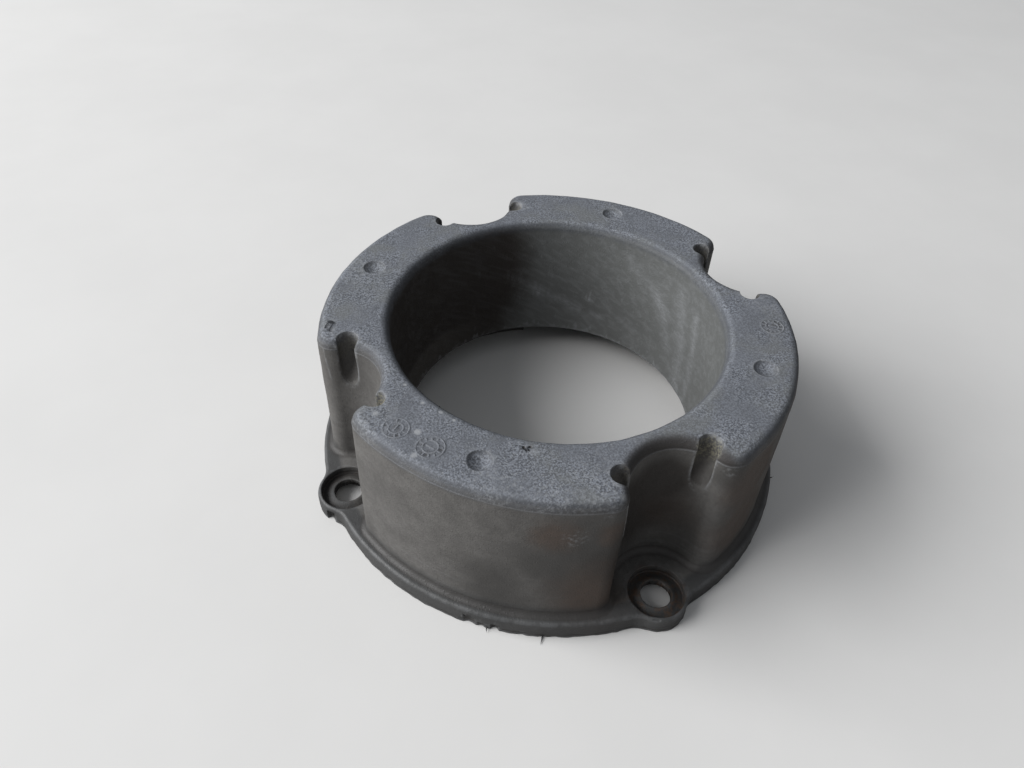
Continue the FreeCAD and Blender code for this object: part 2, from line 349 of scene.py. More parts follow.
# Each smear in the bore: its two ends, its width and how strongly it shows
SMEARS = (
    ((6.0, 41.0, 28.3), (14.5, 38.6, 22.6), 1.0, 0.8), ((14.5, 38.6, 22.6), (25.0, 32.5, 17.0), 1.3, 0.6),
    ((16.6, 38.0, 29.8), (28.4, 29.8, 21.0), 0.4, 1.0), ((28.4, 29.8, 21.0), (37.0, 17.0, 16.0), 0.9, 0.4),
    ((5.5, 40.6, 23.6), (18.0, 36.8, 18.4), 0.5, 0.9), ((7.4, 40.4, 20.5), (30.8, 26.8, 15.5), 0.9, 0.5),
    ((41.9, 4.0, 38.0), (40.2, -3.5, 12.0), 2.0, 0.45), ((41.6, -4.0, 36.0), (39.4, -9.5, 12.0), 1.3, 0.5),
    ((39.5, 13.0, 34.0), (40.8, 4.0, 18.0), 1.5, 0.4), ((35.0, 23.0, 40.0), (41.5, 7.0, 27.0), 1.3, 0.35),
    ((-6.0, 41.5, 33.0), (-2.0, 41.4, 31.0), 0.4, 0.7), ((-33.0, 24.0, 28.0), (-27.0, 31.0, 22.0), 0.4, 0.8),
)

# The directions of the waves that make up the unevenness
WAVES = np.random.default_rng(11).normal(size=(12, 3))
WAVES /= np.linalg.norm(WAVES, axis=1, keepdims=True)


def wandering(points, longest, shortest):
    """A smooth unevenness between about -1 and 1, the same on each run."""
    lengths = np.geomspace(longest, shortest, len(WAVES))[:, None]
    ways = (WAVES * 2 * math.pi / lengths).astype(np.float32)
    starts = (1.7 * np.arange(len(WAVES))).astype(np.float32)
    return np.sin(points.astype(np.float32) @ ways.T + starts).sum(axis=1) / (0.6 * len(WAVES))


def bell(gap, width):
    """One on a line, falling smoothly to nothing past the width."""
    return np.exp(-((gap / width) ** 2))


def smooth_step(value, start, end):
    """A value's smooth way from start to end, as a number from 0 to 1."""
    way = np.clip((value - start) / (end - start), 0, 1)
    return way * way * (3 - 2 * way)


def rod_gap(points, start, end):
    """The distance from each point to a straight stroke."""
    start, way = np.array(start), np.array(end) - np.array(start)
    along = np.clip((points - start) @ way / (way @ way), 0, 1)
    return np.linalg.norm(points - start - along[:, None] * way, axis=1)


def nearest_lug(points):
    """The number of each point's nearest lug, counted round from +X; the left one is 2 or -2."""
    return np.round(np.arctan2(points[:, 1], points[:, 0]) / LUG_TURN)


def seam_height(azimuth):
    """The height of the mould's parting, which wanders a little on its way round."""
    return 43.45 + 0.25 * np.sin(2 * azimuth + 0.7) + 0.12 * np.sin(5 * azimuth + 2.0)


def seam_line(points, at, form):
    """Where the mould's halves met: a fine line round the outer walls and through the pockets."""
    height = seam_height(np.arctan2(points[:, 1], points[:, 0]))
    outside = smooth_step(at.r, 45.6, 46.6) * smooth_step(notch_void(at, form), 0.3, 0.8)
    return bell(at.z - height, 0.17) * outside, smooth_step(height - at.z, 0.0, 0.3) * outside


def pocket_flash(points, at, form):
    """A fine upright line of flash at one corner of each pocket, strongest where it shows most."""
    azimuth = np.arctan2(points[:, 1], points[:, 0])
    nearest = nearest_lug(points)
    rise = (at.z - form.flange_top) / (form.height - form.flange_top)
    corner = np.radians(-9.9 - 2.9 * rise)
    gap = at.r * np.sin(azimuth - nearest * LUG_TURN - corner)
    strength = np.where(nearest == FRONT_LUG, 1.0, 0.35)
    upright = smooth_step(at.z, 7.0, 9.0) * smooth_step(at.z, 43.6, 42.9)
    return bell(gap, 0.19) * upright * strength * smooth_step(at.r, 57.0, 58.5)


def clock_lines(points, centre, radius, turn):
    """The lines of a moulded clock: two rings, ticks and a plain bar."""
    flat = points[:, :2] - centre
    away = np.hypot(flat[:, 0], flat[:, 1])
    angle = np.arctan2(flat[:, 1], flat[:, 0]) - turn
    hour = math.pi / 6
    tick = np.abs(angle / hour - np.round(angle / hour)) * hour * away
    beyond = np.maximum(0.68 * radius - away, away - 0.86 * radius)
    bar = np.hypot(np.maximum(np.abs(away * np.cos(angle)) - 0.3 * radius, 0), away * np.sin(angle))
    rings = np.minimum(np.abs(away - radius), np.abs(away - 0.56 * radius))
    lines = np.minimum.reduce([rings, np.hypot(tick, np.maximum(beyond, 0)), bar])
    return bell(lines, 0.17) * smooth_step(points[:, 2], TOP - 1.5, TOP - 0.8)


def raised(points, form, wear):
    """How far the collar's flash and marks stand out, finer than the mesh around them."""
    at = folded(points)
    line, _ = seam_line(points, at, form)
    height = wear.seam * line + wear.flash * pocket_flash(points, at, form)
    for centre, radius, turn in CLOCKS:
        near = (at.z > TOP - 1.5) & (np.hypot(*(points[:, :2] - centre).T) < radius + 1)
        spot = points[near]
        worn = np.clip(0.65 + 0.45 * wandering(spot, 6, 1.5), 0.15, 1)
        height[near] += wear.clock * clock_lines(spot, centre, radius, turn) * worn
    return height


def dented(points, solid, form):
    """The solid with its gouges and with the tears in the flange's rim."""
    for start, end, radius in GOUGES:
        near = np.abs(points - start).max(axis=1) < 5
        solid[near] = round_cut(solid[near], radius - rod_gap(points[near], start, end), 0.08)
    radius = np.hypot(points[:, 0], points[:, 1])
    azimuth = np.degrees(np.arctan2(points[:, 1], points[:, 0]))
    for middle, width, depth, height in RIM_TEARS:
        beside = np.abs((azimuth - middle + 180) % 360 - 180) * np.radians(radius)
        rim = LUG_RIM if abs(middle) > 170 else form.flange
        bite = np.maximum(rim - depth * (1 - (beside / width) ** 2) - radius, points[:, 2] - height)
        solid = round_cut(solid, -np.maximum(bite, beside - width), 0.1)
    return solid


def cuts(points):
    """Where the gouges are."""
    found = np.zeros(len(points))
    for start, end, _ in GOUGES:
        near = np.abs(points - start).max(axis=1) < 5
        found[near] += bell(rod_gap(points[near], start, end), 0.5)
    return found


def cut_shade(points):
    """How dark the gouges are, from none at the top face to all at their bottoms."""
    shade = np.zeros(len(points))
    for start, end, radius in GOUGES:
        near = np.abs(points - start).max(axis=1) < 5
        inside = smooth_step(rod_gap(points[near], start, end), radius + 0.14, radius + 0.02)
        shade[near] = np.maximum(shade[near], inside)
    return shade * smooth_step(TOP - points[:, 2], 0.24, 0.42)


def finely_made(points, form, wear):
    """Where the mesh has to be finer: on flash and marks, and at nicks and tears."""
    found = raised(points, form, wear) + cuts(points)
    azimuth = np.degrees(np.arctan2(points[:, 1], points[:, 0]))
    radius = np.hypot(points[:, 0], points[:, 1])
    for middle, width, _, height in RIM_TEARS:
        found += (np.abs(azimuth - middle) < width + 0.8) & (radius > 61.5) & (points[:, 2] < height + 0.8)
    return found


def worn_field(points, form, wear):
    """How far each point lies outside the collar as it is now, which nowhere passes its true height."""
    at = folded(points)
    solid = dented(points, collar_field(points, form), form)
    _, below = seam_line(points, at, form)
    rim = smooth_step(at.z, 2.2, 0.6) * smooth_step(at.r, 61.5, 63.0)
    free = smooth_step(at.z, 0.0, 1.0)
    ragged = 0.14 * rim * (wandering(points, 6, 1.6) - 1)
    uneven = wear.uneven * free * (wandering(points, 40, 4) - 1)
    step = wear.seam_step * free * (below * smooth_step(at.z, 14.0, 34.0) - 1)
    solid = solid - raised(points, form, wear) - ragged - uneven - step
    return np.maximum(solid, at.z - form.height + SKIN)


# The collar's mesh, with its lengths in millimetres


FINENESS, QUICK_FINENESS = 0.35, 0.8
TRIANGLES = 185000
PROBE = 0.01  # how far apart the field is read for its slope
STRIDE = 0.3  # the furthest that a vertex moves at once
NEAR_ENOUGH = 0.003  # how near the surface a vertex has to come
FAR = 0.45  # how far a vertex may move before it is evened out


def in_millimetres(settings):
    """The sizes of a property group as plain numbers in millimetres, its angles in radians."""
    sizes = SimpleNamespace()
    for name, prop in settings.bl_rna.properties.items():
        if prop.type == "FLOAT":
            value = getattr(settings, name)
            setattr(sizes, name, value / MM if prop.unit == "LENGTH" else value)
    return sizes


def mesh_points(mesh):
    """The mesh's vertices in millimetres."""
    flat = np.empty(len(mesh.vertices) * 3)
    mesh.vertices.foreach_get("co", flat)
    return flat.reshape(-1, 3) / MM


def gradient(field, points, step):
    """The field at the points and how it changes along each axis."""
    here = field(points)
    slopes = [(field(points + step * axis) - here) / step for axis in np.eye(3)]
    return here, np.stack(slopes, axis=1)


def loosened(mesh, start):
    """Evens out the vertices that have moved far from the start, and returns which they are."""
    points = mesh_points(mesh)
    far = np.linalg.norm(points - start, axis=1) > FAR
    ends = np.empty(len(mesh.edges) * 2, dtype=np.int64)
    mesh.edges.foreach_get("vertices", ends)
    ends = ends.reshape(-1, 2)
    one, other = np.concatenate([ends[far[ends[:, 0]]], ends[far[ends[:, 1]]][:, ::-1]]).T
    count = np.maximum(np.bincount(one, minlength=len(points)), 1)
    for _ in range(4):
        middle = [np.bincount(one, points[other, axis], len(points)) / count for axis in range(3)]
        points[far] = np.stack(middle, axis=1)[far]
    mesh.vertices.foreach_set("co", (points * MM).ravel())
    return np.flatnonzero(far)


def settle(mesh, field, rounds=4, moving=None):
    """Moves the mesh's vertices, or those that are given, onto the field's surface."""
    points = mesh_points(mesh)
    if moving is None:
        moving = np.arange(len(points))
    for _ in range(rounds):
        here, slope = gradient(field, points[moving], PROBE)
        steepness = np.maximum((slope**2).sum(axis=1), 0.3)
        move = np.clip(here / steepness, -STRIDE, STRIDE)
        points[moving] -= move[:, None] * slope
        moving = moving[np.abs(here) > NEAR_ENOUGH]
    mesh.vertices.foreach_set("co", (points * MM).ravel())
    mesh.update()


def with_modifier(obj, name, kind, **settings):
    """Gives the object the mesh that a modifier makes of it."""
    modifier = obj.modifiers.new(name, kind)
    for setting, value in settings.items():
        setattr(modifier, setting, value)
    evaluated = obj.evaluated_get(bpy.context.evaluated_depsgraph_get())
    shaped = bpy.data.meshes.new_from_object(evaluated)
    obj.modifiers.remove(modifier)
    old = obj.data
    obj.data = shaped
    bpy.data.meshes.remove(old)


def divide(mesh, fine):
    """Halves the mesh's edges where the fine detail lies."""
    near = fine(mesh_points(mesh)) > 0.004
    work = bmesh.new()
    work.from_mesh(mesh)
    edges = [edge for edge in work.edges if near[edge.verts[0].index] or near[edge.verts[1].index]]
    bmesh.ops.subdivide_edges(work, edges=edges, cuts=1, use_grid_fill=True)
    work.to_mesh(mesh)
    work.free()


def remeshed(obj, field, fine, fineness):
    """Turns the object into an even mesh on the field's surface, then thins it where it is flat."""
    with_modifier(obj, "even", "REMESH", mode="VOXEL", voxel_size=fineness * MM)
    divide(obj.data, cuts)
    start = mesh_points(obj.data)
    settle(obj.data, field, rounds=12)
    for _ in range(3):
        settle(obj.data, field, moving=loosened(obj.data, start))
    divide(obj.data, fine)
    settle(obj.data, field)
    divide(obj.data, cuts)
    settle(obj.data, field, moving=np.flatnonzero(cuts(mesh_points(obj.data)) > 0.001))
    count = sum(len(polygon.vertices) - 2 for polygon in obj.data.polygons)
    if count > TRIANGLES:
        with_modifier(obj, "thin", "DECIMATE", ratio=TRIANGLES / count)
        settle(obj.data, field, rounds=2)


def add_spikes(mesh):
    """Adds the few hairs of flash that stand off the flange's rim."""
    work = bmesh.new()
    work.from_mesh(mesh)
    for start, tip, radius in SPIKES:
        root, way = Vector(start) * MM, (Vector(tip) - Vector(start)) * MM
        side = way.orthogonal().normalized() * radius * MM
        turns = [Matrix.Rotation(2 * math.pi * step / 6, 3, way) for step in range(6)]
        ring = [work.verts.new(root + turn @ side) for turn in turns]
        end = work.verts.new(root + way)
        for one, other in zip(ring, ring[1:] + ring[:1]):
            work.faces.new((one, other, end))
        work.faces.new(ring[::-1])
    work.to_mesh(mesh)
    work.free()


def smooth_from(mesh, field):
    """Shades the mesh smoothly, by the field's own slope."""
    _, slope = gradient(field, mesh_points(mesh), 0.05)
    slope /= np.maximum(np.linalg.norm(slope, axis=1, keepdims=True), 1e-6)
    mesh.shade_smooth()
    mesh.normals_split_custom_set_from_vertices(slope.tolist())


def store(mesh, name, values):
    """Keeps a value for each vertex, which the material reads by its name."""
    layer = mesh.attributes.new(name, "FLOAT", "POINT")
    layer.data.foreach_set("value", values.astype(np.float32))


def edge_share(points, field, reach):
    """How strongly each point lies on an outer edge (positive) or in a corner (negative)."""
    spread = -6 * field(points)
    for axis in np.eye(3):
        spread += field(points + reach * axis) + field(points - reach * axis)
    return spread / reach**2


def notch_grit(at, form):
    """The upper part of the notches, where dirt has packed."""
    upper = smooth_step(at.z, 38.0, 41.5) * smooth_step(at.z, 46.0, 45.0)
    return smooth_step(notch_void(at, form), 0.7, 0.1) * upper


def rim_shade(at, form):
    """The rounded rim of a pocket, above the line where the mould's halves met."""
    from_bolt = np.hypot(at.u - form.bolt_circle, at.v)
    return smooth_step(from_bolt, form.pocket + 3.0, form.pocket + 1.0) * smooth_step(at.z, 43.2, 43.8)


def seat_shade_and_rust(at, form):
    """The bolt seats, for painted shade in their recesses and for the rust from the bolts that has stained
    the rubber.
    """
    from_bolt = np.hypot(at.u - form.bolt_circle, at.v)
    rings = 0.8 + 0.2 * np.sin(from_bolt * 9)
    return rings * smooth_step(from_bolt, form.seat + 0.7, form.seat - 0.3) * smooth_step(at.z, 7.0, 5.2)


def clock_calm(points):
    """The ground of the date clocks, where the bloom's grain is finer."""
    grounds = []
    for centre, radius, _ in CLOCKS:
        away = np.hypot(*(points[:, :2] - centre).T)
        grounds.append(smooth_step(away, radius + 1.0, radius - 0.6))
    return np.maximum.reduce(grounds)


def finish_values(points, field, form, wear):
    """What the material reads for each vertex: its edges and lines, and what shade and dirt lie on it."""
    at, lug = folded(points), nearest_lug(points)
    front, left = lug == FRONT_LUG, np.abs(lug) == LEFT_LUG
    dirty = ((points[:, 0] > 0) & front) | ((points[:, 1] < 0) & left)
    # Painted shade on the pockets' rims, strongest at the front pocket
    painted_rim_shade = rim_shade(at, form) * np.select([front, left], [0.95, 0.1], 0.6)
    seats = seat_shade_and_rust(at, form)
    return {
        "edge": edge_share(points, field, 0.5),
        "line": raised(points, form, wear) / wear.seam,
        "grit": notch_grit(at, form) * np.where(dirty, 1.0, 0.25),
        # Painted shade in the gouges and on the pockets' rims
        "cut": np.maximum(cut_shade(points), painted_rim_shade),
        "calm": clock_calm(points),
        # Painted shade in the bolt seats
        "painted_seat_shade": seats,
        "rust": seats * np.where(front, 1.0, 0.12),
        "smear": sum(force * bell(rod_gap(points, *ends), width) for *ends, width, force in SMEARS),
    }


class COLLAR_OT_mould(bpy.types.Operator):
    """Moulds the collar: its true form with its flash, nicks and worn edges."""

    bl_idname = "collar.mould"
    bl_label = "Mould collar"

    def execute(self, context):
        form = in_millimetres(context.scene.collar_form)
        wear = in_millimetres(context.scene.collar_wear)
        piece = bpy.data.objects.new(PIECE, bpy.data.objects[NODE].data.copy())
        context.collection.objects.link(piece)

        def field(points):
            return worn_field(points, form, wear)

        def fine(points):
            return finely_made(points, form, wear)

        remeshed(piece, field, fine, FINENESS)
        add_spikes(piece.data)
        for name, values in finish_values(mesh_points(piece.data), field, form, wear).items():
            store(piece.data, name, values)
        smooth_from(piece.data, field)
        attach(piece, "root")
        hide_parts(NODE)
        return {"FINISHED"}


# Nodes


def node(tree, kind, inputs=None, **settings):
    """Adds a node with its settings; inputs are values or the sockets that feed them."""
    made = tree.nodes.new(kind)
    for name, value in settings.items():
        setattr(made, name, value)
    for socket, value in (inputs or {}).items():
        if isinstance(value, bpy.types.NodeSocket):
            tree.links.new(value, made.inputs[socket])
        else:
            made.inputs[socket].default_value = value
    return made


def reckon(tree, operation, *values, clamped=True):
    """The result of one step of arithmetic on values or sockets, as a rule kept from none to all."""
    made = node(tree, "ShaderNodeMath", dict(enumerate(values)), operation=operation, use_clamp=clamped)
    return made.outputs[0]


def between(tree, value, start, end, low=0.0, high=1.0):
    """A value's smooth way from start to end, as a number from low to high."""
    inputs = {"Value": value, "From Min": start, "From Max": end, "To Min": low, "To Max": high}
    return node(tree, "ShaderNodeMapRange", inputs, interpolation_type="SMOOTHSTEP").outputs["Result"]


def painted(tree, under, cover, over):
    """One colour laid over another by a mask; colours are values or sockets."""
    mix = node(tree, "ShaderNodeMix", {0: cover}, data_type="RGBA")
    for socket, tint in ((6, under), (7, over)):
        if isinstance(tint, bpy.types.NodeSocket):
            tree.links.new(tint, mix.inputs[socket])
        else:
            mix.inputs[socket].default_value = (*tint, 1)
    return mix.outputs[2]


def noise(tree, place, scale, detail, roughness, distortion=0.0):
    """The level of fractal noise at a place."""
    given = {"Vector": place, "Scale": scale, "Detail": detail}
    inputs = {**given, "Roughness": roughness, "Distortion": distortion}
    return node(tree, "ShaderNodeTexNoise", inputs).outputs["Fac"]


FLOAT, VECTOR = "NodeSocketFloat", "NodeSocketVector"


def group(name, *inputs, outputs=("Mask",)):
    """A new node group with named sockets, and its input and output nodes."""
    tree = bpy.data.node_groups.new(name, "ShaderNodeTree")
    for socket, kind, default in (("Place", VECTOR, None), *inputs):
        made = tree.interface.new_socket(socket, in_out="INPUT", socket_type=kind)
        if default is not None:
            made.default_value = default
    for socket in outputs:
        tree.interface.new_socket(socket, in_out="OUTPUT", socket_type=FLOAT)
    return tree, tree.nodes.new("NodeGroupInput").outputs, tree.nodes.new("NodeGroupOutput").inputs


def mottle_group(name):
    """Soft blotches of a given size, between two levels of the noise."""
    levels = ("Start", FLOAT, 0.4), ("End", FLOAT, 0.6)
    tree, given, result = group(name, ("Size", FLOAT, 10.0), *levels, outputs=("Mask", "Height"))
    scale = reckon(tree, "DIVIDE", 1.0, given["Size"], clamped=False)
    level = noise(tree, given["Place"], scale, detail=4.0, roughness=0.6)
    tree.links.new(between(tree, level, given["Start"], given["End"]), result["Mask"])
    tree.links.new(level, result["Height"])


def specks_group(name):
    """Scattered fine specks, denser where their share is higher."""
    tree, given, result = group(name, ("Size", FLOAT, 0.6), ("Share", FLOAT, 0.3))
    scale = reckon(tree, "DIVIDE", 1.0, given["Size"], clamped=False)
    cells = node(tree, "ShaderNodeTexVoronoi", {"Vector": given["Place"], "Scale": scale, "Randomness": 1.0})
    chance = node(tree, "ShaderNodeSeparateColor", {"Color": cells.outputs["Color"]}).outputs[0]
    chosen = reckon(tree, "LESS_THAN", chance, given["Share"], clamped=False)
    dot = between(tree, cells.outputs["Distance"], 0.55, 0.15)
    tree.links.new(reckon(tree, "MULTIPLY", chosen, dot), result["Mask"])


def patch_group(name):
    """A ragged patch round a centre: full in its core, and gone past its reach."""
    sizes = ("Core", FLOAT, 2.0), ("Reach", FLOAT, 8.0), ("Ragged", FLOAT, 6.0)
    tree, given, result = group(name, ("Centre", VECTOR, None), *sizes)
    ends = {0: given["Place"], 1: given["Centre"]}
    away = node(tree, "ShaderNodeVectorMath", ends, operation="DISTANCE").outputs["Value"]
    scale = reckon(tree, "DIVIDE", 1.6, given["Reach"], clamped=False)
    level = noise(tree, given["Place"], scale, detail=5.0, roughness=0.65)
    off = reckon(tree, "SUBTRACT", level, 0.5, clamped=False)
    bent = reckon(tree, "MULTIPLY_ADD", off, given["Ragged"], away, clamped=False)
    tree.links.new(between(tree, bent, given["Reach"], given["Core"]), result["Mask"])


def strokes_group(name):
    """Fine scratches and smears drawn out along one direction of the place."""
    levels = ("Start", FLOAT, 0.6), ("End", FLOAT, 0.7)
    tree, given, result = group(name, ("Stretch", VECTOR, (1.0, 1.0, 1.0)), *levels)
    factors = {0: given["Place"], 1: given["Stretch"]}
    drawn = node(tree, "ShaderNodeVectorMath", factors, operation="MULTIPLY").outputs["Vector"]
    level = noise(tree, drawn, 1.0, detail=3.0, roughness=0.55, distortion=0.4)
    tree.links.new(between(tree, level, given["Start"], given["End"]), result["Mask"])


EFFECTS = {"Mottle": mottle_group, "Specks": specks_group, "Patch": patch_group, "Strokes": strokes_group}


def material(name):
    """A new material, its tree and its shader."""
    made = bpy.data.materials.new(name)
    made.use_nodes = True
    return made, made.node_tree, made.node_tree.nodes["Principled BSDF"]


class Coat:
    """A material's colour while it is built up, layer over layer, on places in millimetres."""

    def __init__(self, tree, under):
        self.tree, self.colour = tree, under
        inputs = {0: node(tree, "ShaderNodeTexCoord").outputs["Object"], "Scale": 1 / MM}
        self.place = node(tree, "ShaderNodeVectorMath", inputs, operation="SCALE").outputs["Vector"]
        for name, make in EFFECTS.items():
            if name not in bpy.data.node_groups:
                make(name)

    def lay(self, colour, *masks):
        """Lays a colour over what is there, where all the masks hold."""
        self.colour = painted(self.tree, self.colour, self.times(*masks), colour)

    def joined(self, operation, masks):
        """Masks taken together by one operation, one after the other."""
        total = masks[0]
        for mask in masks[1:]:
            total = reckon(self.tree, operation, total, mask)
        return total

    def times(self, *masks):
        """Masks and forces, multiplied."""
        return self.joined("MULTIPLY", masks)

    def most(self, *masks):
        """The strongest of several masks."""
        return self.joined("MAXIMUM", masks)

    def eased(self, mask, force):
        """A mask that takes away only its force where it is nothing."""
        return reckon(self.tree, "MULTIPLY_ADD", mask, force, 1 - force)

    def between(self, *values):
        """A value's smooth way from start to end, as between gives it in this tree."""
        return between(self.tree, *values)

    def kept(self, name):
        """A value that the mesh keeps for each vertex."""
        return node(self.tree, "ShaderNodeAttribute", attribute_name=name).outputs["Fac"]

    def effect(self, name, **values):
        """A shared effect, with its sockets set by name."""
        inputs = {socket.title(): value for socket, value in {"place": self.place, **values}.items()}
        return node(self.tree, "ShaderNodeGroup", inputs, node_tree=bpy.data.node_groups[name]).outputs

    def mottle(self, size, start, end):
        """Soft blotches, none where the noise is at the start and all where it is at the end."""
        return self.effect("Mottle", size=size, start=start, end=end)["Mask"]

    def specks(self, size, share):
        """Fine specks on a share of the surface."""
        return self.effect("Specks", size=size, share=share)["Mask"]

    def strokes(self, stretch, start, end, **other):
        """Drawn-out marks, on another place where one is given."""
        return self.effect("Strokes", stretch=stretch, start=start, end=end, **other)["Mask"]

    def patches(self, spots):
        """One mask of several ragged patches."""
        names = ("centre", "core", "reach", "ragged")
        return self.most(*(self.effect("Patch", **dict(zip(names, spot)))["Mask"] for spot in spots))


# Rubber


class RubberFinish(bpy.types.PropertyGroup):
    """Colours of the rubber and of what lies on it, and the colours that are laid as painted shade and a
    painted brown reflection.
    """

    wall: colour("Wall", "Colour of the rubber's outer walls", (0.152, 0.147, 0.141))
    bore: colour("Bore", "Colour of the bore's wall", (0.122, 0.126, 0.124))
    lip: colour("Lip", "Colour of the sealing lip where it is shaded", (0.085, 0.078, 0.070))
    flange: colour("Flange", "Colour of the flange and the lugs", (0.050, 0.052, 0.054))
    # Laid in the bolt seats as painted shade in their recesses.
    seat: colour("Seat", "Colour of the bolt seats", (0.030, 0.030, 0.030))
    # The bare rubber's dark colour is what the material lays as painted shade: in the pockets, on the bore's
    # shaded side, in concave corners, at the wall's foot, in the gouges and on the pockets' rims.
    bare: colour("Bare rubber", "Colour of the rubber where nothing has paled it", (0.031, 0.026, 0.023))
    bloom: colour("Bloom", "Colour of the bluish bloom on the top face", (0.156, 0.168, 0.193))
    pale: colour("Pale film", "Colour of the greyer film over that bloom", (0.172, 0.179, 0.174))
    scuff: colour("Scuffs", "Colour of scuffed edges and fine specks", (0.340, 0.352, 0.370))
    # This brown is laid on the walls as a painted brown reflection, and darker in two pockets with painted
    # shade.
    brown: colour("Brown", "Colour of the brown film low on the walls", (0.100, 0.070, 0.054))
    grit: colour("Grit", "Colour of the dirt packed in the notches", (0.290, 0.275, 0.205))
    rust: colour("Rust", "Colour of the bolts' rust in the seats", (0.120, 0.062, 0.030))
    speckle: share("Speckle", "How strongly fine specks show on the top face", 0.45)
    roughness: share("Roughness", "Roughness of the bare rubber", 0.55)


# Each patch of the finish: its centre, the radius of its core, its reach, and how ragged it is
SCUFFED = (
    ((-16, -53, 46), 3, 12, 9), ((-55, -17, 46), 2, 9, 7), ((-36, -44, 46), 2, 8, 6),
    ((-27, -52, 45), 2, 9, 6), ((52, -14, 46), 2, 8, 6), ((-43, 38, 46), 3, 12, 8), ((6, 55, 46), 3, 12, 8),
)
WALL_SCUFFS = (
    ((-23.2, -55.6, 35.2), 0.6, 4.2, 3), ((-17.0, -57.6, 43.2), 0.3, 2.4, 2),
    ((-12.4, -59.6, 40.0), 0.3, 2.0, 2), ((12.5, -58.5, 42.0), 0.3, 3.6, 3),
    ((-48.5, -5.5, 43.5), 0.5, 4.0, 3),
)
FLECKS = (
    ((-45.9, -24.2, 46), 0.4, 1.1, 0.9), ((-48.8, -30.1, 46), 0.3, 1.0, 0.8),
    ((-52.5, -15.6, 46), 0.3, 1.0, 0.8), ((-43.7, -9.5, 46), 0.2, 0.6, 0.4),
    ((-39.3, -20.7, 46), 0.2, 0.7, 0.6), ((-42.0, -16.5, 46), 0.2, 0.6, 0.5),
    ((-37.5, -24.1, 46), 0.2, 0.6, 0.5), ((-11.2, -50.3, 46), 0.3, 1.2, 1.1),
    ((-13.5, -56.5, 45.5), 0.3, 1.4, 1.2),
)
# Painted brown reflection on the outer walls
BROWN_REFLECTION_PATCHES = (
    ((-16, -60, 14), 4, 17, 10), ((-15, -58.5, 36), 1, 6, 5), ((-14, -59.5, 24), 1, 7, 5),
    ((-27, -54, 36), 1, 8, 8), ((23, -57, 34), 6, 12, 5), ((24, -56, 18), 6, 14, 5),
    ((50, -36, 24), 14, 32, 12), ((30, 52, 18), 8, 26, 12),
)
DULL_PATCHES = (
    ((-15, -58, 24), 10, 26, 9), ((-29, -53, 25), 1, 11, 9), ((-38, -47, 14), 2, 14, 12),
    ((13, -58.5, 41), 2.5, 7, 5), ((44, 40, 22), 6, 26, 14), ((-40, 45, 16), 4, 22, 14),
)
# Painted shade in the four bolt pockets, laid in the bare rubber's colour
POCKET_SHADE_PATCHES = (
    ((-7, -49, 25), 9, 18, 6), ((3, -47, 33), 5, 11, 5), ((-50, 4, 14), 1, 10, 8),
    ((2, 50, 20), 8, 18, 6), ((50, -2, 20), 8, 18, 6),
)
# Painted shade with a brown reflection in two of the pockets
POCKET_SHADE_REFLECTION_PATCHES = (((7, -48.5, 22), 2, 10, 6), ((48.5, 7, 22), 2, 10, 6))
BORE_SHADE = (((-24, 34, 32), 31, 42, 10),)
LIP_SHADE = (((-30, 22, 12), 12, 38, 10),)


def whereabouts(coat):
    """Where a point lies: its height and radius, how far its face looks up, and how sharp its edge is."""
    tree = coat.tree
    axes = node(tree, "ShaderNodeSeparateXYZ", {"Vector": coat.place}).outputs
    flat = node(tree, "ShaderNodeCombineXYZ", {"X": axes["X"], "Y": axes["Y"]}).outputs["Vector"]
    normal = node(tree, "ShaderNodeNewGeometry").outputs["Normal"]
    return SimpleNamespace(
        height=axes["Z"],
        radius=node(tree, "ShaderNodeVectorMath", {0: flat}, operation="LENGTH").outputs["Value"],
        upward=node(tree, "ShaderNodeSeparateXYZ", {"Vector": normal}).outputs["Z"],
        edge=coat.kept("edge"),
    )


def paint_walls(coat, at, finish):
    """The outer walls: clouds, low streaks and dull patches, with a painted brown reflection, and painted
    shade in the pockets.
    """
    coat.lay(finish.wall * 0.72, coat.mottle(14.0, 0.35, 0.75))
    coat.lay(finish.wall * 0.55, coat.mottle(6.5, 0.38, 0.66), 0.38)
    low = coat.between(at.height, 24.0, 9.0, 0.02, 0.10)
    coat.lay(finish.scuff, coat.strokes((0.06, 0.06, 1.1), 0.5, 0.72), low)
    coat.lay(finish.wall * 0.36, coat.patches(DULL_PATCHES), 0.72)
    # Painted brown reflection on the walls
    coat.lay(finish.brown, coat.patches(BROWN_REFLECTION_PATCHES), 0.72)
    # Painted shade in the bolt pockets
    coat.lay(finish.bare, coat.patches(POCKET_SHADE_PATCHES), 0.85)
    # Painted shade with a brown reflection in two pockets
    coat.lay(finish.brown * 0.6, coat.patches(POCKET_SHADE_REFLECTION_PATCHES), 0.5)
    coat.lay(finish.wall * 0.4, coat.mottle(1.1, 0.42, 0.60), 0.20)


